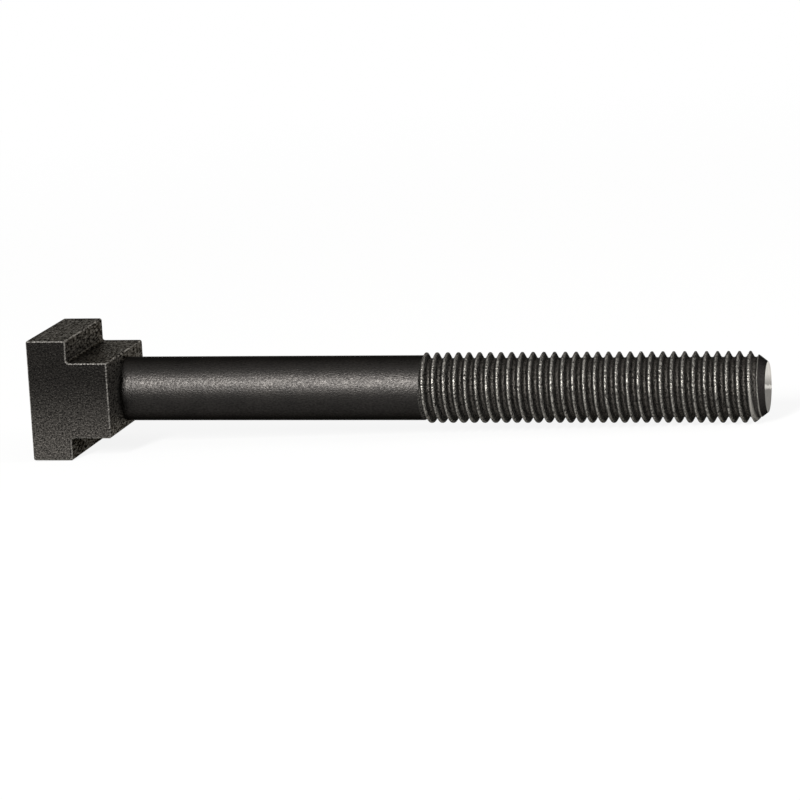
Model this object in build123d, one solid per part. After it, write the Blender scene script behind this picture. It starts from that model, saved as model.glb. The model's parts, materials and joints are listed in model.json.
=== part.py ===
from build123d import *
from math import atan2, ceil, degrees, radians, tan
import os

# A forged T-slot bolt for a machine table's 9/16 inch slot: one solid piece of steel.
# It is drawn standing on its head with its axis along +Z, then laid down as it rests.
# Sizes are in millimetres, given in inches where the trade does.

inch = 25.4

# The head: a square flange that lies in the slot's undercut, and a neck that fills the throat.
flange_width = 7 / 8 * inch
head_depth = 7 / 8 * inch
flange_thickness = 0.297 * inch
neck_width = 0.55 * inch
neck_height = 0.297 * inch
edge_bevel = 0.4

# The plain shank is near the size from which the thread is rolled, and flares at the neck.
shank_length = 56.2
shank_diameter = 11.7
shank_flare = 0.5

# The thread: 1/2 inch, 13 turns to the inch, right-handed, with the unified basic profile.
thread_diameter = 1 / 2 * inch
threads_per_inch = 13
thread_length = 62.1
flank_angle = 30
thread_start_angle = 279
run_out_length = 1.3
end_chamfer_length = 2.4
end_chamfer_height = 1.85

# How far one body reaches into another where the two are joined or cut.
overreach = 0.1

# Sizes that follow from those above.
head_height = flange_thickness + neck_height
thread_start = head_height + shank_length
bolt_length = thread_start + thread_length
shank_radius = shank_diameter / 2
thread_radius = thread_diameter / 2
pitch = inch / threads_per_inch
sharp_height = pitch / 2 / tan(radians(flank_angle))
thread_depth = 5 / 8 * sharp_height
root_radius = thread_radius - thread_depth
root_flat = pitch / 4
flank_slope = tan(radians(flank_angle))
lead_in_turns = 2
# Where the thread's full diameter ends and the chamfer on its end begins.
last_crest = bolt_length - end_chamfer_length


def make_head():
    # The T section is the same all through the head's depth, and every edge is bevelled.
    flange = Rectangle(flange_width, flange_thickness, align=(Align.CENTER, Align.MIN))
    neck = Rectangle(neck_width, head_height, align=(Align.CENTER, Align.MIN))
    block = extrude(Plane.XZ * (flange + neck), amount=head_depth / 2, both=True)
    return chamfer(block.edges(), edge_bevel)


def make_shank():
    # Inside the thread's first turn the shank ends in a cone, on which the groove runs out.
    foot = head_height - overreach
    run_out_end = thread_start + run_out_length
    outline = Polyline(
        (0, foot),
        (shank_radius + shank_flare, foot),
        (shank_radius + shank_flare, head_height),
        (shank_radius, head_height + shank_flare),
        (shank_radius, thread_start),
        (root_radius - overreach, run_out_end),
        (0, run_out_end),
        close=True,
    )
    return revolve(Plane.XZ * make_face(outline), Axis.Z)


def make_thread_blank():
    # The blank's first edge slopes like a flank of the thread and meets the shank at the start.
    lowest = thread_start - (shank_radius - root_radius) * flank_slope
    outline = Polyline(
        (0, lowest),
        (root_radius, lowest),
        (thread_radius, lowest + thread_depth * flank_slope),
        (thread_radius, last_crest),
        (thread_radius - end_chamfer_height, bolt_length),
        (0, bolt_length),
        close=True,
    )
    return revolve(Plane.XZ * make_face(outline), Axis.Z)


def make_groove_turn():
    # One turn of the groove: its true section run along a helix, and widened past the crest by
    # the same slope.
    path = Helix(pitch=pitch, height=pitch, radius=root_radius)
    mouth = thread_depth + overreach
    half_root = root_flat / 2
    half_mouth = half_root + mouth * flank_slope
    outline = Polyline(
        (0, -half_root),
        (mouth, -half_mouth),
        (mouth, half_mouth),
        (0, half_root),
        close=True,
    )
    start = Plane(origin=path @ 0, x_dir=(1, 0, 0), z_dir=(0, -1, 0))
    return sweep(start * make_face(outline), path=path, is_frenet=True)


def make_threaded_end():
    # Each turn of the groove ends where the next begins, from before the thread's start until
    # past the bolt's end.
    turn = Rot(0, 0, thread_start_angle) * make_groove_turn()
    first = thread_start - lead_in_turns * pitch
    turn_count = ceil(thread_length / pitch) + lead_in_turns + 1
    groove = [Pos(0, 0, first + index * pitch) * turn for index in range(turn_count)]
    return make_thread_blank() - groove


def rest_tilt():
    # The angle by which the thread's end lies lower: the floor touches the flange's lower edge
    # on its shoulder side and the last full crest.
    run = last_crest - (flange_thickness - edge_bevel)
    rise = flange_width / 2 - thread_radius
    return degrees(atan2(rise, run))


def lay_down(bolt):
    # Along +X on the floor, with the T upright, and centred over the origin.
    lying = Rot(0, 90 + rest_tilt(), 0) * bolt
    box = lying.bounding_box()
    middle = box.center()
    return Pos(-middle.X, -middle.Y, -box.min.Z) * lying


def make_bolt():
    return make_head() + make_shank() + make_threaded_end()


os.makedirs("parts", exist_ok=True)
bolt = lay_down(make_bolt())
export_step(bolt, "parts/t_slot_bolt.step")
print("rest tilt", round(rest_tilt(), 4), "box", bolt.bounding_box())
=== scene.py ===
import json
import math

import bmesh
import bpy
from mathutils import Matrix, Vector


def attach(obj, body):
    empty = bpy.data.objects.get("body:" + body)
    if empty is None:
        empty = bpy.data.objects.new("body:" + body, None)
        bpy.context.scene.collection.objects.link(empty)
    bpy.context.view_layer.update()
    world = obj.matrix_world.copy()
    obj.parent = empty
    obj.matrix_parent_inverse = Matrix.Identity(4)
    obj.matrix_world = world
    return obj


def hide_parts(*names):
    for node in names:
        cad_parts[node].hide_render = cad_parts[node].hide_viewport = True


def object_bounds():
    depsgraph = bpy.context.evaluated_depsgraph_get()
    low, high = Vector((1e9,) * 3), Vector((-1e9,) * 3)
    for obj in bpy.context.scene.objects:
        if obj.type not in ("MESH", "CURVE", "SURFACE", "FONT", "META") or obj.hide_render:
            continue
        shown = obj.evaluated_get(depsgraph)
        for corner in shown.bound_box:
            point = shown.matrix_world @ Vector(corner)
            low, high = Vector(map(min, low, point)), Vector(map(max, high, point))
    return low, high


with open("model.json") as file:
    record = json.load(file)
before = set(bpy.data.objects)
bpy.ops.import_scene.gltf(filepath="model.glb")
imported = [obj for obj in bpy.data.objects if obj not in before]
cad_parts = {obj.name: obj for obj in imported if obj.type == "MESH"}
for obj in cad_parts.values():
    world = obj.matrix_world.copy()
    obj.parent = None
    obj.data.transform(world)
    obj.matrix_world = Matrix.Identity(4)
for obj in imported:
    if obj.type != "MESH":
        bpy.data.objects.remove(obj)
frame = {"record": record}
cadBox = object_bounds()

# One forged T-slot bolt lies on a pale studio floor. Sizes are in millimetres unless a note says
# otherwise.
mm = 0.001
inch = 25.4

# The bolt has its own frame: X along its axis from the head's outer face, Y to the back, Z up.
head = {
    "flangeWidth": 7 / 8 * inch,
    "depth": 7 / 8 * inch,
    "flangeThickness": 0.297 * inch,
    "neckWidth": 0.55 * inch,
    "neckHeight": 0.297 * inch,
    "edgeRadius": 0.4,
    "edgeSteps": 4,
    "sharpTurn": 45,        # in degrees, past which an edge of the head is rounded
    "rubbedAndSheenLimit": 0.9,     # how square to one of the flat faces a rubbed, painted-highlight part of an edge may be
}
shank = {
    "diameter": 11.7,
    "length": 56.2,
    "fillet": 0.5,
    "filletSteps": 6,
    "plainSteps": 8,
}
thread = {
    "diameter": 1 / 2 * inch,
    "turnsPerInch": 13,
    "length": 62.1,
    "flankAngle": 30,       # in degrees, from square across the axis
    "startAngle": 279,      # where the groove's middle crosses the thread's start, in degrees
    "leadTurns": 2,         # turns of the groove before the start and past the end
    "runOut": 1.3,          # how far the groove takes to reach its full depth
    "crestRadius": 0.08,
    "crestSteps": 3,
    "rootRadius": 0.42,
    "rootSteps": 4,
    "flankSteps": 4,
    "chamferLength": 2.4,
    "chamferHeight": 1.85,
    "ridgeHighlightWidth": 0.25,     # width of the painted highlight along the edge that the chamfer leaves
    "segments": 96,         # round the bolt, for the shank too
}
joining = {
    "mergeWithin": 0.002,   # points closer than this are one
    "onPlane": 0.0001,      # how near a plane a point has to be to lie in it
    "sharpAngle": 38,       # in degrees, past which an edge is shaded sharp
}

headHeight = head["flangeThickness"] + head["neckHeight"]
threadStart = headHeight + shank["length"]
boltLength = threadStart + thread["length"]
chamferStart = boltLength - thread["chamferLength"]
shankRadius = shank["diameter"] / 2
crestRadius = thread["diameter"] / 2
pitch = inch / thread["turnsPerInch"]
rootFlat = pitch / 4
crestFlat = pitch / 8
flankAngle = math.radians(thread["flankAngle"])
threadDepth = 5 / 8 * pitch / 2 / math.tan(flankAngle)
rootRadius = crestRadius - threadDepth

# The frame's thread mount says where the bolt lies, in metres.
threadMount = next(mount for mount in frame["record"]["mounts"] if mount["name"] == "thread")
boltAxis = Vector(threadMount["axis"]).normalized()
boltUp = boltAxis.cross(Vector((0, 1, 0)))
headPlace = Vector(threadMount["pos_m"]) - boltAxis * boltLength * mm
boltMatrix = Matrix((boltAxis, (0, 1, 0), boltUp)).transposed().to_4x4()
boltMatrix.translation = headPlace
boltMiddle = boltMatrix @ Vector((boltLength / 2 * mm, 0, 0))
print("sizes worked out")


def roundedCorner(before, corner, after, radius, steps):
    # points of an arc that touches both lines of a corner
    toBefore = (before - corner).normalized()
    toAfter = (after - corner).normalized()
    half = toBefore.angle(toAfter) / 2
    middle = corner + (toBefore + toAfter).normalized() * radius / math.sin(half)
    first = corner + toBefore * radius / math.tan(half) - middle
    last = corner + toAfter * radius / math.tan(half) - middle
    turn = first.angle_signed(last)
    return [middle + Matrix.Rotation(-turn * step / steps, 2) @ first for step in range(steps + 1)]


def threadProfile():
    # (distance from the groove's middle, radius) over one pitch, rounded at root and crest
    rootMiddle = Vector((0, rootRadius))
    rootCorner = Vector((rootFlat / 2, rootRadius))
    crestCorner = Vector((pitch / 2 - crestFlat / 2, crestRadius))
    crestMiddle = Vector((pitch / 2, crestRadius))
    foot = roundedCorner(rootMiddle, rootCorner, crestCorner, thread["rootRadius"], thread["rootSteps"])
    top = roundedCorner(rootCorner, crestCorner, crestMiddle, thread["crestRadius"], thread["crestSteps"])
    steps = thread["flankSteps"]
    flank = [foot[-1].lerp(top[0], step / steps) for step in range(1, steps)]
    half = foot + flank + top
    left = [Vector((-point.x, point.y)) for point in reversed(half)]
    return left + [rootMiddle] + half + [crestMiddle]


def chamferRadiusAt(x):
    return crestRadius - (x - chamferStart) / thread["chamferLength"] * thread["chamferHeight"]


def threadRadiusAt(x, radius):
    # the groove runs out on a cone at the start, and a chamfer takes the thread's end
    startCone = shankRadius - (x - threadStart) / thread["runOut"] * (shankRadius - rootRadius)
    startFlank = shankRadius + (x - threadStart) / math.tan(flankAngle)
    return min(max(radius, startCone), startFlank, chamferRadiusAt(x))


def ringPoint(x, radius, angle):
    # angles count from straight down towards the back, as the thread's start angle does
    return Vector((x, radius * math.sin(angle), -radius * math.cos(angle))) * mm


def addThread(mesh):
    segments = thread["segments"]
    profile = threadProfile()
    turns = math.ceil(thread["length"] / pitch) + 2 * thread["leadTurns"]
    grooveStart = threadStart - (thread["leadTurns"] + thread["startAngle"] / 360) * pitch
    # painted highlight: the edge that the chamfer leaves on the last turn is painted in the crests' tone
    ridgeHighlight = mesh.verts.layers.float.new("ridgeHighlight")
    grid = []
    for turn in range(turns):
        for point in profile:
            column = []
            for step in range(segments):
                x = grooveStart + turn * pitch + point.x + step / segments * pitch
                place = min(max(x, threadStart), boltLength)
                radius = threadRadiusAt(place, point.y)
                corner = mesh.verts.new(ringPoint(place, radius, math.tau * step / segments))
                takenOff = point.y - chamferRadiusAt(place)
                corner[ridgeHighlight] = max(0, 1 - abs(takenOff) / thread["ridgeHighlightWidth"])
                column.append(corner)
            grid.append(column)
    oneTurn = len(profile)
    for index in range(len(grid) - 1):
        near, far = grid[index], grid[index + 1]
        for step in range(segments - 1):
            mesh.faces.new((near[step], near[step + 1], far[step + 1], far[step]))
        # the last column of a turn meets the first column of the next one
        if index + 1 + oneTurn < len(grid):
            nextNear, nextFar = grid[index + oneTurn][0], grid[index + 1 + oneTurn][0]
            mesh.faces.new((near[-1], nextNear, nextFar, far[-1]))


def addShank(mesh):
    # a lathe outline: the fillet at the neck, then the plain length
    outline = []
    for step in range(shank["filletSteps"] + 1):
        angle = math.pi / 2 * step / shank["filletSteps"]
        outline.append((headHeight + shank["fillet"] * (1 - math.cos(angle)),
                        shankRadius + shank["fillet"] * (1 - math.sin(angle))))
    plainStart = headHeight + shank["fillet"]
    for step in range(1, shank["plainSteps"] + 1):
        x = plainStart + (threadStart - plainStart) * step / shank["plainSteps"]
        outline.append((x, shankRadius))
    angles = [math.tau * step / thread["segments"] for step in range(thread["segments"])]
    rings = [[mesh.verts.new(ringPoint(x, radius, angle)) for angle in angles] for x, radius in outline]
    for ring, nextRing in zip(rings, rings[1:]):
        for step in range(len(ring)):
            after = (step + 1) % len(ring)
            mesh.faces.new((ring[step], ring[after], nextRing[after], nextRing[step]))
    return rings[0]


def edgeTurn(edge):
    # how far an edge turns, in degrees: above 0 on the outside and below 0 in an inner corner
    return math.degrees(edge.calc_face_angle_signed(0))


def roundEdges(mesh, edges):
    return bmesh.ops.bevel(mesh, geom=edges, offset=head["edgeRadius"] * mm, offset_type="OFFSET",
                           segments=head["edgeSteps"], profile=0.5, affect="EDGES")["faces"]


def addHead(mesh, neckRing):
    # the T section, drawn once round and run through the head's depth
    flange, neck = head["flangeWidth"] / 2, head["neckWidth"] / 2
    shoulder = head["flangeThickness"]
    section = [(0, -flange), (shoulder, -flange), (shoulder, -neck), (headHeight, -neck),
               (headHeight, neck), (shoulder, neck), (shoulder, flange), (0, flange)]
    front = [mesh.verts.new(Vector((x, -head["depth"] / 2, z)) * mm) for x, z in section]
    back = [mesh.verts.new(Vector((x, head["depth"] / 2, z)) * mm) for x, z in section]
    faces = [mesh.faces.new(front), mesh.faces.new(reversed(back))]
    for index in range(len(section)):
        after = (index + 1) % len(section)
        faces.append(mesh.faces.new((front[after], front[index], back[index], back[after])))
    bmesh.ops.recalc_face_normals(mesh, faces=faces)
    rubbedAndSheen = mesh.faces.layers.float.new("rubbedAndSheen")
    # the two inner corners are rounded first, and then the outer edges run over them
    roundEdges(mesh, [edge for edge in mesh.edges if edgeTurn(edge) < -head["sharpTurn"]])
    rounds = roundEdges(mesh, [edge for edge in mesh.edges if edgeTurn(edge) > head["sharpTurn"]])
    # the outer edges are rubbed along their middles, and the lighter tone there is partly a painted highlight
    for face in rounds:
        face.normal_update()
        steepest = max(abs(share) for share in face.normal)
        face[rubbedAndSheen] = 0 if steepest > head["rubbedAndSheenLimit"] else 1
    # the neck's end face is opened round the shank
    endX, near = headHeight * mm, joining["onPlane"] * mm
    mesh.faces.ensure_lookup_table()
    onEnd = [face for face in mesh.faces if all(abs(vert.co.x - endX) < near for vert in face.verts)]
    endFace = max(onEnd, key=lambda face: face.calc_area())
    border = list(endFace.edges)
    bmesh.ops.delete(mesh, geom=[endFace], context="FACES_ONLY")
    hole = [mesh.edges.get((neckRing[i - 1], neckRing[i])) for i in range(len(neckRing))]
    bmesh.ops.triangle_fill(mesh, edges=border + hole, use_beauty=True, use_dissolve=False)


def buildBolt():
    mesh = bmesh.new()
    neckRing = addShank(mesh)
    addHead(mesh, neckRing)
    addThread(mesh)
    bmesh.ops.remove_doubles(mesh, verts=mesh.verts[:], dist=joining["mergeWithin"] * mm)
    openEdges = [edge for edge in mesh.edges if edge.is_boundary]
    endFaces = bmesh.ops.contextual_create(mesh, geom=openEdges)["faces"]
    bmesh.ops.recalc_face_normals(mesh, faces=mesh.faces[:])
    # materials: 0 on the head and fillet, 1 on the shank, 2 on the thread and 3 on the cut end
    for face in mesh.faces:
        face.smooth = True
        middle = face.calc_center_median().x
        if middle > threadStart * mm:
            face.material_index = 2
        elif middle > (headHeight + shank["fillet"]) * mm:
            face.material_index = 1
    for face in endFaces:
        face.material_index = 3
    openLeft = sum(1 for edge in mesh.edges if not edge.is_manifold)
    print("bolt's mesh:", len(mesh.faces), "faces,", openLeft, "open edges,", len(endFaces), "end face")
    bmesh.ops.transform(mesh, matrix=boltMatrix, verts=mesh.verts[:])
    data = bpy.data.meshes.new("tSlotBolt")
    mesh.to_mesh(data)
    mesh.free()
    data.set_sharp_from_angle(angle=math.radians(joining["sharpAngle"]))
    bolt = bpy.data.objects.new("tSlotBolt", data)
    bpy.context.scene.collection.objects.link(bolt)
    return bolt


def linearColour(hexText):
    channels = [int(hexText[i:i + 2], 16) / 255 for i in (1, 3, 5)]
    return [c / 12.92 if c <= 0.04045 else ((c + 0.055) / 1.055) ** 2.4 for c in channels] + [1.0]


def addNode(tree, kind, inputs=None, **settings):
    # an input is a socket to link, a hex colour or a plain value; a Mix of colours takes its share at 0
    # and its colours at 6 and 7, and gives the result at output 2
    node = tree.nodes.new(kind)
    for name, value in settings.items():
        setattr(node, name, value)
    for name, value in (inputs or {}).items():
        if isinstance(value, bpy.types.NodeSocket):
            tree.links.new(value, node.inputs[name])
        else:
            node.inputs[name].default_value = linearColour(value) if isinstance(value, str) else value
    return node


def newMaterial(name):
    material = bpy.data.materials.new(name)
    material.use_nodes = True
    material.node_tree.nodes.clear()
    return material, material.node_tree


# nearly all of a noise pattern's values lie between these two
noiseSpan = {"From Min": 0.3, "From Max": 0.7}


def noiseAt(tree, place, sizes, detail):
    # a noise pattern whose grains have the given lengths in millimetres along X, Y and Z
    scales = [1 / (size * mm) for size in sizes]
    stretched = addNode(tree, "ShaderNodeMapping", {"Vector": place, "Scale": scales}).outputs["Vector"]
    noise = addNode(tree, "ShaderNodeTexNoise", {"Vector": stretched, "Scale": 1.0, "Detail": detail})
    return noise.outputs["Fac"]


def placeOnBolt(tree):
    # a point's place in the bolt's own frame
    place = addNode(tree, "ShaderNodeTexCoord").outputs["Object"]
    turned = {"Vector": place, "Location": headPlace, "Rotation": boltMatrix.to_euler()}
    return addNode(tree, "ShaderNodeMapping", turned, vector_type="TEXTURE").outputs["Vector"]


def directionAround(tree):
    # the way round the bolt's axis, along which turning and rolling leave their marks
    place = addNode(tree, "ShaderNodeTexCoord").outputs["Object"]
    fromHead = addNode(tree, "ShaderNodeVectorMath", {0: place, 1: headPlace}, operation="SUBTRACT")
    around = {0: boltAxis, 1: fromHead.outputs["Vector"]}
    return addNode(tree, "ShaderNodeVectorMath", around, operation="CROSS_PRODUCT").outputs["Vector"]


planeDepth = 0.1    # how far past a flat face its mask ends


def faceAt(tree, along, x):
    # 1 on a flat face that lies across the bolt's axis, and 0 past it and before its edge
    rise = {"Value": along, "From Min": (x - head["edgeRadius"] / 2) * mm, "From Max": x * mm}
    fall = {"Value": along, "From Min": x * mm, "From Max": (x + planeDepth) * mm,
            "To Min": 1.0, "To Max": 0.0}
    towards = addNode(tree, "ShaderNodeMapRange", rise).outputs["Result"]
    past = addNode(tree, "ShaderNodeMapRange", fall).outputs["Result"]
    return addNode(tree, "ShaderNodeMath", {0: towards, 1: past}, operation="MINIMUM").outputs["Value"]


# The crystals of real black oxide are far too fine to show, so each grain below is drawn as coarse as it
# needs to be to show at all. Grazing colours are what the surface gives back seen almost edge on.
forged = {
    "dark": "#1b1a18",
    "light": "#262422",
    "patchSize": 5,
    "patchDetail": 4.0,
    "low": "#4f4c48",           # painted light: the greyer tone painted on the front towards the side on which the head lies, and on the neck's end, as if lit
    "paintedLightFrom": 5,               # height over the axis at which the painted light on the front starts
    # painted light: the greyer tone painted on the upper shoulder, as if lit
    "shoulder": "#4a4743",
    # rubbed edges: partly worn steel, partly a painted highlight
    "rubbedAndSheen": "#7f7c77",
    "hollow": "#0d0c0c",
    "grazing": "#f2eee6",
    "hollowGrazing": "#5a5650",
    "hollowShare": (-0.15, 1.05),
    "grainSize": 0.32,
    "grainLength": 1.0,         # through the head's depth, along which the T section was rolled
    "grainDetail": 3.0,
    "grainDepth": 0.2,
    "metal": 0.65,              # the rest of the light is scattered by the oxide's crystals
    "roughness": (0.36, 0.48),
}


def forgedBlackSteel():
    # black oxide on a forged skin: near black, half dull, with a fine grain and faint patches
    material, tree = newMaterial("blackOxideForgedSteel")
    place = placeOnBolt(tree)
    xyz = addNode(tree, "ShaderNodeSeparateXYZ", {"Vector": place}).outputs
    patches = noiseAt(tree, place, [forged["patchSize"]] * 3, forged["patchDetail"])
    grainSizes = (forged["grainSize"], forged["grainLength"], forged["grainSize"])
    grain = noiseAt(tree, place, grainSizes, forged["grainDetail"])
    skin = addNode(tree, "ShaderNodeMix", {0: patches, 6: forged["dark"], 7: forged["light"]},
                   data_type="RGBA").outputs[2]
    # painted light: the front is painted greyer towards the side on which the head lies, and so is the neck's
    # end face, as if lit
    low = addNode(tree, "ShaderNodeMapRange", {"Value": xyz["Z"], "From Min": forged["paintedLightFrom"] * mm,
                                               "From Max": -head["flangeWidth"] / 2 * mm},
                  interpolation_type="SMOOTHSTEP").outputs["Result"]
    front = addNode(tree, "ShaderNodeMapRange", {"Value": xyz["Y"],
                                                 "From Min": (head["edgeRadius"] - head["depth"] / 2) * mm,
                                                 "From Max": -head["depth"] / 2 * mm}).outputs["Result"]
    paintedLightFront = addNode(tree, "ShaderNodeMath", {0: low, 1: front}, operation="MULTIPLY").outputs["Value"]
    neckEnd = faceAt(tree, xyz["X"], headHeight)
    paintedLightShare = addNode(tree, "ShaderNodeMath", {0: paintedLightFront, 1: neckEnd}, operation="MAXIMUM").outputs["Value"]
    withPaintedLight = addNode(tree, "ShaderNodeMix", {0: paintedLightShare, 6: skin, 7: forged["low"]},
                        data_type="RGBA").outputs[2]
    # painted light: the shoulder that lies uppermost is painted greyer, as if lit, while the lower one keeps
    # the plain skin
    aboveNeck = addNode(tree, "ShaderNodeMath", {0: xyz["Z"], 1: head["neckWidth"] / 2 * mm},
                        operation="GREATER_THAN").outputs["Value"]
    shoulderPlane = faceAt(tree, xyz["X"], head["flangeThickness"])
    shoulder = addNode(tree, "ShaderNodeMath", {0: aboveNeck, 1: shoulderPlane},
                       operation="MULTIPLY").outputs["Value"]
    withPaintedShoulderLight = addNode(tree, "ShaderNodeMix", {0: shoulder, 6: withPaintedLight, 7: forged["shoulder"]},
                     data_type="RGBA").outputs[2]
    # the oxide is rubbed thin along the edges, and the lighter tone there is partly a painted highlight
    rubbedAndSheen = addNode(tree, "ShaderNodeAttribute", attribute_name="rubbedAndSheen").outputs["Fac"]
    withRubbedAndSheen = addNode(tree, "ShaderNodeMix", {0: rubbedAndSheen, 6: withPaintedShoulderLight, 7: forged["rubbedAndSheen"]},
                      data_type="RGBA").outputs[2]
    # and the grain's hollows stay blackest
    least, most = forged["hollowShare"]
    hollows = addNode(tree, "ShaderNodeMapRange", {"Value": grain, **noiseSpan, "To Min": least,
                                                   "To Max": most}).outputs["Result"]
    colour = addNode(tree, "ShaderNodeMix", {0: hollows, 6: withRubbedAndSheen, 7: forged["hollow"]},
                     data_type="RGBA").outputs[2]
    sideways = addNode(tree, "ShaderNodeMix", {0: hollows, 6: forged["grazing"], 7: forged["hollowGrazing"]},
                       data_type="RGBA").outputs[2]
    smoothest, roughest = forged["roughness"]
    roughness = addNode(tree, "ShaderNodeMapRange", {"Value": grain, **noiseSpan, "To Min": smoothest,
                                                     "To Max": roughest}).outputs["Result"]
    bump = addNode(tree, "ShaderNodeBump", {"Height": grain, "Strength": 1.0,
                                            "Distance": forged["grainDepth"] * mm}).outputs["Normal"]
    steel = addNode(tree, "ShaderNodeBsdfPrincipled", {"Base Color": colour, "Metallic": forged["metal"],
                                                       "Roughness": roughness, "Specular IOR Level": 0.0,
                                                       "Specular Tint": sideways, "Normal": bump})
    addNode(tree, "ShaderNodeOutputMaterial", {"Surface": steel.outputs["BSDF"]})
    return material


drawn = {
    "dark": "#262524",
    "light": "#312f2d",
    "patchSize": 5,
    "patchDetail": 4.0,
    "hollow": "#0d0c0c",
    "hollowShare": (-0.05, 0.65),
    "grazing": "#7c7975",
    "markLength": 0.42,         # of the marks that drawing leaves along the bar
    "markWidth": 0.24,
    "markDetail": 3.0,
    "markDepth": 0.055,
    "roughness": (0.27, 0.37),
    "stretch": 0.75,            # how much the marks draw the highlight out round the bar
}


def drawnBlackSteel():
    # black oxide on a drawn bar: its fine lengthwise marks spread the light round the bar
    material, tree = newMaterial("blackOxideDrawnSteel")
    place = placeOnBolt(tree)
    markSizes = (drawn["markLength"], drawn["markWidth"], drawn["markWidth"])
    marks = noiseAt(tree, place, markSizes, drawn["markDetail"])
    patches = noiseAt(tree, place, [drawn["patchSize"]] * 3, drawn["patchDetail"])
    skin = addNode(tree, "ShaderNodeMix", {0: patches, 6: drawn["dark"], 7: drawn["light"]},
                   data_type="RGBA").outputs[2]
    least, most = drawn["hollowShare"]
    hollows = addNode(tree, "ShaderNodeMapRange", {"Value": marks, **noiseSpan, "To Min": least,
                                                   "To Max": most}).outputs["Result"]
    colour = addNode(tree, "ShaderNodeMix", {0: hollows, 6: skin, 7: drawn["hollow"]},
                     data_type="RGBA").outputs[2]
    smoothest, roughest = drawn["roughness"]
    roughness = addNode(tree, "ShaderNodeMapRange", {"Value": marks, **noiseSpan, "To Min": smoothest,
                                                     "To Max": roughest}).outputs["Result"]
    bump = addNode(tree, "ShaderNodeBump", {"Height": marks, "Strength": 1.0,
                                            "Distance": drawn["markDepth"] * mm}).outputs["Normal"]
    steel = addNode(tree, "ShaderNodeBsdfPrincipled", {"Base Color": colour, "Metallic": 1.0,
                                                       "Roughness": roughness,
                                                       "Anisotropic": drawn["stretch"],
                                                       "Tangent": directionAround(tree),
                                                       "Specular Tint": drawn["grazing"], "Normal": bump})
    addNode(tree, "ShaderNodeOutputMaterial", {"Surface": steel.outputs["BSDF"]})
    return material


rolled = {
    # painted light: the root and flank tones stand in for light that the shade between the flanks takes away;
    # the crest tone is partly rubbed steel, partly a painted highlight
    "root": "#4f4c48",
    "flank": "#4b4946",
    "crest": "#8f8c86",
    "chamfer": "#282625",
    "hollow": "#0d0c0c",
    "hollowShare": (-0.15, 1.05),
    "grazing": "#2e2c2a",
    "rootUpTo": 0.15,           # shares of the thread's depth, counted from the root
    "flankFrom": 0.3,
    "crestFrom": 0.62,
    "crestTo": 0.84,
    "chamferFade": (0.4, 1.2),  # from the chamfer's start, over which the crests' rubbed and painted-highlight tones end
    "grainSize": 0.32,
    "grainDetail": 3.0,
    "grainDepth": 0.18,
    "metal": 0.75,
    "roughness": (0.31, 0.43),
    "crestRoughness": 0.27,
    "stretch": 0.55,
}


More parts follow.
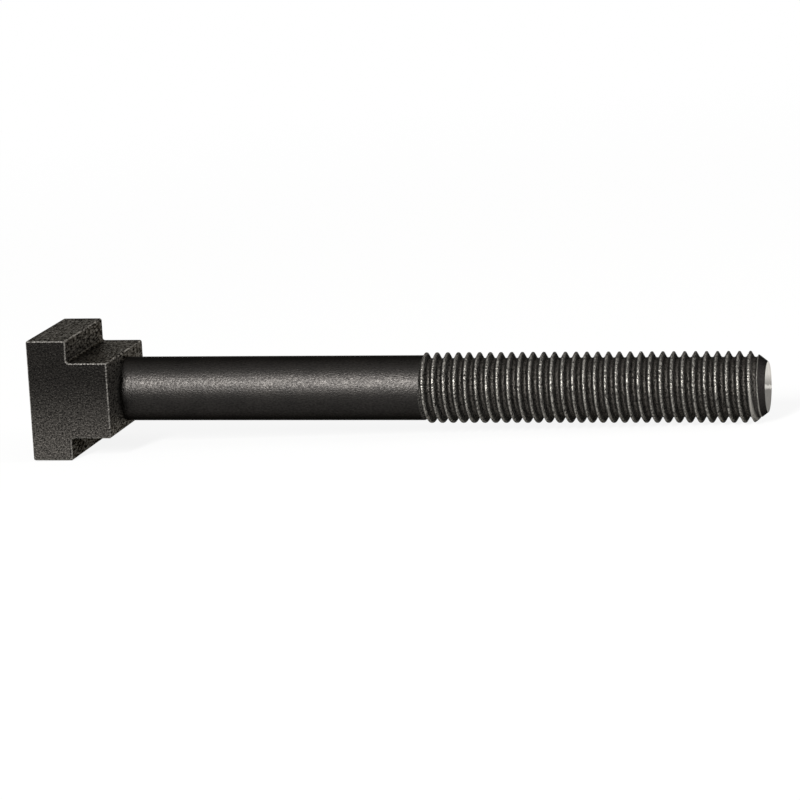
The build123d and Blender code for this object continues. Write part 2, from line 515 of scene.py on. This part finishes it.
def rolledBlackSteel():
    # black oxide on a rolled thread: the roots and flanks are painted lighter than the bar's black in place
    # of the light that the shade between the flanks takes away, and the crests are lighter still, partly
    # rubbed to grey steel and partly a painted highlight
    material, tree = newMaterial("blackOxideRolledSteel")
    place = placeOnBolt(tree)
    grain = noiseAt(tree, place, [rolled["grainSize"]] * 3, rolled["grainDetail"])
    across = addNode(tree, "ShaderNodeVectorMath", {0: place, 1: (0, 1, 1)},
                     operation="MULTIPLY").outputs["Vector"]
    fromAxis = addNode(tree, "ShaderNodeVectorMath", {0: across}, operation="LENGTH").outputs["Value"]
    height = addNode(tree, "ShaderNodeMapRange", {"Value": fromAxis, "From Min": rootRadius * mm,
                                                  "From Max": crestRadius * mm}).outputs["Result"]
    tones = addNode(tree, "ShaderNodeValToRGB", {"Fac": height})
    ramp = tones.color_ramp
    ramp.elements[0].color = linearColour(rolled["root"])
    ramp.elements[1].color = linearColour(rolled["crest"])
    stops = (("rootUpTo", "root"), ("flankFrom", "flank"), ("crestFrom", "flank"), ("crestTo", "crest"))
    for stop, tone in stops:
        ramp.elements.new(rolled[stop]).color = linearColour(rolled[tone])
    # the grain mottles the colour too
    least, most = rolled["hollowShare"]
    speckles = addNode(tree, "ShaderNodeMapRange", {"Value": grain, **noiseSpan, "To Min": least,
                                                    "To Max": most}).outputs["Result"]
    mottled = addNode(tree, "ShaderNodeMix", {0: speckles, 6: tones.outputs["Color"], 7: rolled["hollow"]},
                      data_type="RGBA").outputs[2]
    # the chamfer is black, and only its edge carries a painted highlight in the crests' tone
    along = addNode(tree, "ShaderNodeSeparateXYZ", {"Vector": place}).outputs["X"]
    fadeFrom, fadeTo = rolled["chamferFade"]
    fade = {"Value": along, "From Min": (chamferStart + fadeFrom) * mm,
            "From Max": (chamferStart + fadeTo) * mm}
    chamfered = addNode(tree, "ShaderNodeMapRange", fade).outputs["Result"]
    black = addNode(tree, "ShaderNodeMix", {0: chamfered, 6: mottled, 7: rolled["chamfer"]},
                    data_type="RGBA").outputs[2]
    ridgeHighlight = addNode(tree, "ShaderNodeAttribute", attribute_name="ridgeHighlight").outputs["Fac"]
    colour = addNode(tree, "ShaderNodeMix", {0: ridgeHighlight, 6: black, 7: rolled["crest"]},
                     data_type="RGBA").outputs[2]
    # what is rubbed is smoother too
    isCrest = addNode(tree, "ShaderNodeMapRange", {"Value": height, "From Min": rolled["crestFrom"],
                                                   "From Max": rolled["crestTo"]}).outputs["Result"]
    smoothest, roughest = rolled["roughness"]
    uneven = addNode(tree, "ShaderNodeMapRange", {"Value": grain, **noiseSpan, "To Min": smoothest,
                                                  "To Max": roughest}).outputs["Result"]
    roughness = addNode(tree, "ShaderNodeMapRange", {"Value": isCrest, "To Min": uneven,
                                                     "To Max": rolled["crestRoughness"]}).outputs["Result"]
    bump = addNode(tree, "ShaderNodeBump", {"Height": grain, "Strength": 1.0,
                                            "Distance": rolled["grainDepth"] * mm}).outputs["Normal"]
    steel = addNode(tree, "ShaderNodeBsdfPrincipled", {"Base Color": colour, "Metallic": rolled["metal"],
                                                       "Roughness": roughness, "Specular IOR Level": 0.0,
                                                       "Anisotropic": rolled["stretch"],
                                                       "Tangent": directionAround(tree),
                                                       "Specular Tint": rolled["grazing"], "Normal": bump})
    addNode(tree, "ShaderNodeOutputMaterial", {"Surface": steel.outputs["BSDF"]})
    return material


sheared = {
    "cut": "#e4e1dc",
    "cutFrom": 0.75,            # share of the end face, from its lowest point, where the cut is brightest
    "dragged": "#827f7b",
    "scored": "#9b9893",
    "scoreWidth": 0.25,         # of the marks that the blade drew down the cut part
    "scoreLength": 4,
    "scoreDetail": 2.0,
    "scoreSpan": (0.5, 0.65),   # the noise values over which a score mark appears
    "scoreStrength": 0.7,
    # painted highlight along the step where the shear ended
    "stepHighlight": "#e2e0db",
    "stepHighlightHeight": 0.22,
    "fall": 0.21,               # of the line where the shear ended, across the end towards the back
    "ragged": 0.25,             # how far that line wanders
    "broken": "#514e4b",
    "brokenGrazing": "#efece7",
    "pitted": "#2f2d2b",
    "pitSpan": (0.4, 0.58),     # the noise values over which a pit appears
    "grainSize": 0.45,
    "grainDetail": 4.0,
    "grainDepth": 0.06,
    "bumpStrength": 0.6,
    "roughness": 0.38,
}


def shearedSteel():
    # the cut end has no oxide: bright where the shear cut it and dull where it broke, with a painted
    # highlight along the step between the two
    material, tree = newMaterial("shearedBareSteel")
    place = placeOnBolt(tree)
    grain = noiseAt(tree, place, [sheared["grainSize"]] * 3, sheared["grainDetail"])
    level = addNode(tree, "ShaderNodeVectorMath", {0: place, 1: (0, sheared["fall"], 1)},
                    operation="DOT_PRODUCT").outputs["Value"]
    wander = sheared["ragged"] * mm
    ragged = addNode(tree, "ShaderNodeMapRange", {"Value": grain, **noiseSpan, "To Min": -wander,
                                                  "To Max": wander}).outputs["Result"]
    height = addNode(tree, "ShaderNodeMath", {0: level, 1: ragged}, operation="ADD").outputs["Value"]
    faceRadius = crestRadius - thread["chamferHeight"]
    over = addNode(tree, "ShaderNodeMapRange", {"Value": height, "From Min": -faceRadius * mm,
                                                "From Max": faceRadius * mm}).outputs["Result"]
    tones = addNode(tree, "ShaderNodeValToRGB", {"Fac": over})
    # painted highlight: the band either side of the step's line is painted bright
    stepHighlight = sheared["stepHighlightHeight"] / faceRadius / 2
    brokenTo, stepHighlightFrom, stepHighlightTo, draggedTo = 0.5 - 2 * stepHighlight, 0.5 - stepHighlight, 0.5 + stepHighlight, 0.5 + 2 * stepHighlight
    ramp = tones.color_ramp
    ramp.elements[0].color = linearColour(sheared["broken"])
    ramp.elements[1].color = linearColour(sheared["cut"])
    stops = ((brokenTo, "broken"), (stepHighlightFrom, "stepHighlight"), (stepHighlightTo, "stepHighlight"), (draggedTo, "dragged"),
             (sheared["cutFrom"], "cut"))
    for stop, tone in stops:
        ramp.elements.new(stop).color = linearColour(sheared[tone])
    # the blade scored the part above the lip
    scoreSizes = (sheared["scoreWidth"], sheared["scoreWidth"], sheared["scoreLength"])
    scores = noiseAt(tree, place, scoreSizes, sheared["scoreDetail"])
    faintest, deepest = sheared["scoreSpan"]
    scored = addNode(tree, "ShaderNodeMapRange", {"Value": scores, "From Min": faintest, "From Max": deepest,
                                                  "To Max": sheared["scoreStrength"]}).outputs["Result"]
    isCut = addNode(tree, "ShaderNodeMath", {0: over, 1: draggedTo},
                    operation="GREATER_THAN").outputs["Value"]
    scoreShare = addNode(tree, "ShaderNodeMath", {0: isCut, 1: scored}, operation="MULTIPLY").outputs["Value"]
    cut = addNode(tree, "ShaderNodeMix", {0: scoreShare, 6: tones.outputs["Color"], 7: sheared["scored"]},
                  data_type="RGBA").outputs[2]
    # and the part below it is pitted
    isBroken = addNode(tree, "ShaderNodeMath", {0: over, 1: brokenTo}, operation="LESS_THAN").outputs["Value"]
    pitFrom, pitTo = sheared["pitSpan"]
    pits = addNode(tree, "ShaderNodeMapRange", {"Value": grain, "From Min": pitFrom,
                                                "From Max": pitTo}).outputs["Result"]
    pitShare = addNode(tree, "ShaderNodeMath", {0: isBroken, 1: pits}, operation="MULTIPLY").outputs["Value"]
    colour = addNode(tree, "ShaderNodeMix", {0: pitShare, 6: cut, 7: sheared["pitted"]},
                     data_type="RGBA").outputs[2]
    sideways = addNode(tree, "ShaderNodeMix", {0: isBroken, 6: sheared["stepHighlight"], 7: sheared["brokenGrazing"]},
                       data_type="RGBA").outputs[2]
    bump = addNode(tree, "ShaderNodeBump", {"Height": grain, "Strength": sheared["bumpStrength"],
                                            "Distance": sheared["grainDepth"] * mm}).outputs["Normal"]
    steel = addNode(tree, "ShaderNodeBsdfPrincipled", {"Base Color": colour, "Metallic": 1.0,
                                                       "Roughness": sheared["roughness"],
                                                       "Specular Tint": sideways, "Normal": bump})
    addNode(tree, "ShaderNodeOutputMaterial", {"Surface": steel.outputs["BSDF"]})
    return material


bolt = buildBolt()
for makeMaterial in (forgedBlackSteel, drawnBlackSteel, rolledBlackSteel, shearedSteel):
    bolt.data.materials.append(makeMaterial())
weighted = bolt.modifiers.new("weightedNormals", "WEIGHTED_NORMAL")
weighted.keep_sharp = True
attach(bolt, "root")
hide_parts("t_slot_bolt")
print("bolt built, with", len(bolt.data.materials), "materials")

# Lengths here are in metres.
studio = {
    "white": "#ffffff",
    "floorColour": "#f4f4f2",
    "floorSize": 6.0,
    "floorGlow": 0.88,      # how white the floor is by the bolt
    "fadeStart": 0.1,       # distances over which it turns plain white
    "fadeEnd": 0.55,
    "fill": 0.3,            # of the room, on what isn't seen or mirrored
}


def whiteForView(tree):
    # what the camera, metal and glass see of the room is plain white
    path = addNode(tree, "ShaderNodeLightPath").outputs
    seen = addNode(tree, "ShaderNodeMath", {0: path["Is Camera Ray"], 1: path["Is Glossy Ray"]},
                   operation="MAXIMUM").outputs["Value"]
    return addNode(tree, "ShaderNodeMath", {0: seen, 1: path["Is Transmission Ray"]},
                   operation="MAXIMUM").outputs["Value"]


def buildFloor():
    material, tree = newMaterial("paleStudioFloor")
    diffuse = addNode(tree, "ShaderNodeBsdfDiffuse", {"Color": studio["floorColour"]}).outputs["BSDF"]
    glow = addNode(tree, "ShaderNodeEmission", {"Color": studio["white"],
                                                "Strength": 1.0}).outputs["Emission"]
    # the floor fades into the white room away from the bolt
    place = addNode(tree, "ShaderNodeTexCoord").outputs["Object"]
    away = addNode(tree, "ShaderNodeVectorMath", {0: place}, operation="LENGTH").outputs["Value"]
    glowing = addNode(tree, "ShaderNodeMapRange", {"Value": away, "From Min": studio["fadeStart"],
                                                   "From Max": studio["fadeEnd"],
                                                   "To Min": studio["floorGlow"], "To Max": 1.0},
                      interpolation_type="SMOOTHSTEP").outputs["Result"]
    share = addNode(tree, "ShaderNodeMath", {0: whiteForView(tree), 1: glowing},
                    operation="MULTIPLY").outputs["Value"]
    mix = addNode(tree, "ShaderNodeMixShader", {0: share, 1: diffuse, 2: glow}).outputs["Shader"]
    addNode(tree, "ShaderNodeOutputMaterial", {"Surface": mix})
    half = studio["floorSize"] / 2
    corners = [(-half, -half, 0), (half, -half, 0), (half, half, 0), (-half, half, 0)]
    data = bpy.data.meshes.new("floor")
    data.from_pydata(corners, [], [(0, 1, 2, 3)])
    data.materials.append(material)
    floor = bpy.data.objects.new("floor", data)
    bpy.context.scene.collection.objects.link(floor)
    floor.location.z = cadBox[0][2]


def buildWorld():
    world = bpy.data.worlds.new("paleRoom")
    world.use_nodes = True
    tree = world.node_tree
    tree.nodes.clear()
    strength = addNode(tree, "ShaderNodeMapRange", {"Value": whiteForView(tree), "To Min": studio["fill"],
                                                    "To Max": 1.0}).outputs["Result"]
    room = addNode(tree, "ShaderNodeBackground", {"Color": studio["white"], "Strength": strength})
    addNode(tree, "ShaderNodeOutputWorld", {"Surface": room.outputs["Background"]})
    bpy.context.scene.world = world


buildFloor()
buildWorld()
print("floor and world built")

# Azimuth 0 is in front of the bolt and 90 off its threaded end. Angles are in degrees, lengths in metres
# and powers in watts.
lamps = {
    "keySoftbox": {"azimuth": -15, "elevation": 30, "distance": 2.5,
                   "width": 0.38, "height": 0.95, "power": 92},
    "endSoftbox": {"azimuth": 80, "elevation": 25, "distance": 0.7,
                   "width": 0.3, "height": 0.3, "power": 1.8},
}


def addLamp(name, lamp):
    azimuth = math.radians(lamp["azimuth"])
    elevation = math.radians(lamp["elevation"])
    towards = Vector((math.sin(azimuth) * math.cos(elevation), -math.cos(azimuth) * math.cos(elevation),
                      math.sin(elevation)))
    data = bpy.data.lights.new(name, "AREA")
    data.shape = "RECTANGLE"
    data.size = lamp["width"]
    data.size_y = lamp["height"]
    data.energy = lamp["power"]
    softbox = bpy.data.objects.new(name, data)
    bpy.context.scene.collection.objects.link(softbox)
    softbox.location = boltMiddle + towards * lamp["distance"]
    softbox.rotation_euler = (-towards).to_track_quat("-Z", "Y").to_euler()
    softbox.visible_camera = False


for name, lamp in lamps.items():
    addLamp(name, lamp)
print("lamps built")

# The camera's angles and its aim are given in the bolt's own frame.
camera = {
    "azimuth": 13.801,
    "elevation": 11.749,
    "roll": -2.967,
    "distance": 672.5,
    "aim": (63.05, 14.34, -5.34),
    "lens": 163.9,
    "sensorWidth": 36,
    "clipStart": 10,
}


def buildCamera():
    azimuth = math.radians(camera["azimuth"])
    elevation = math.radians(camera["elevation"])
    forward = Vector((-math.sin(azimuth) * math.cos(elevation), math.cos(azimuth) * math.cos(elevation),
                      -math.sin(elevation)))
    level = Vector((math.cos(azimuth), math.sin(azimuth), 0))
    roll = Matrix.Rotation(math.radians(-camera["roll"]), 3, forward)
    right, up = roll @ level, roll @ level.cross(forward)
    matrix = Matrix((right, up, -forward)).transposed().to_4x4()
    matrix.translation = (Vector(camera["aim"]) - forward * camera["distance"]) * mm
    data = bpy.data.cameras.new("camera")
    data.lens = camera["lens"]
    data.sensor_width = camera["sensorWidth"]
    data.clip_start = camera["clipStart"] * mm
    view = bpy.data.objects.new("camera", data)
    bpy.context.scene.collection.objects.link(view)
    view.matrix_world = boltMatrix @ matrix
    bpy.context.scene.camera = view


buildCamera()
print("camera built")

bpy.context.scene.view_settings.view_transform = "Standard"
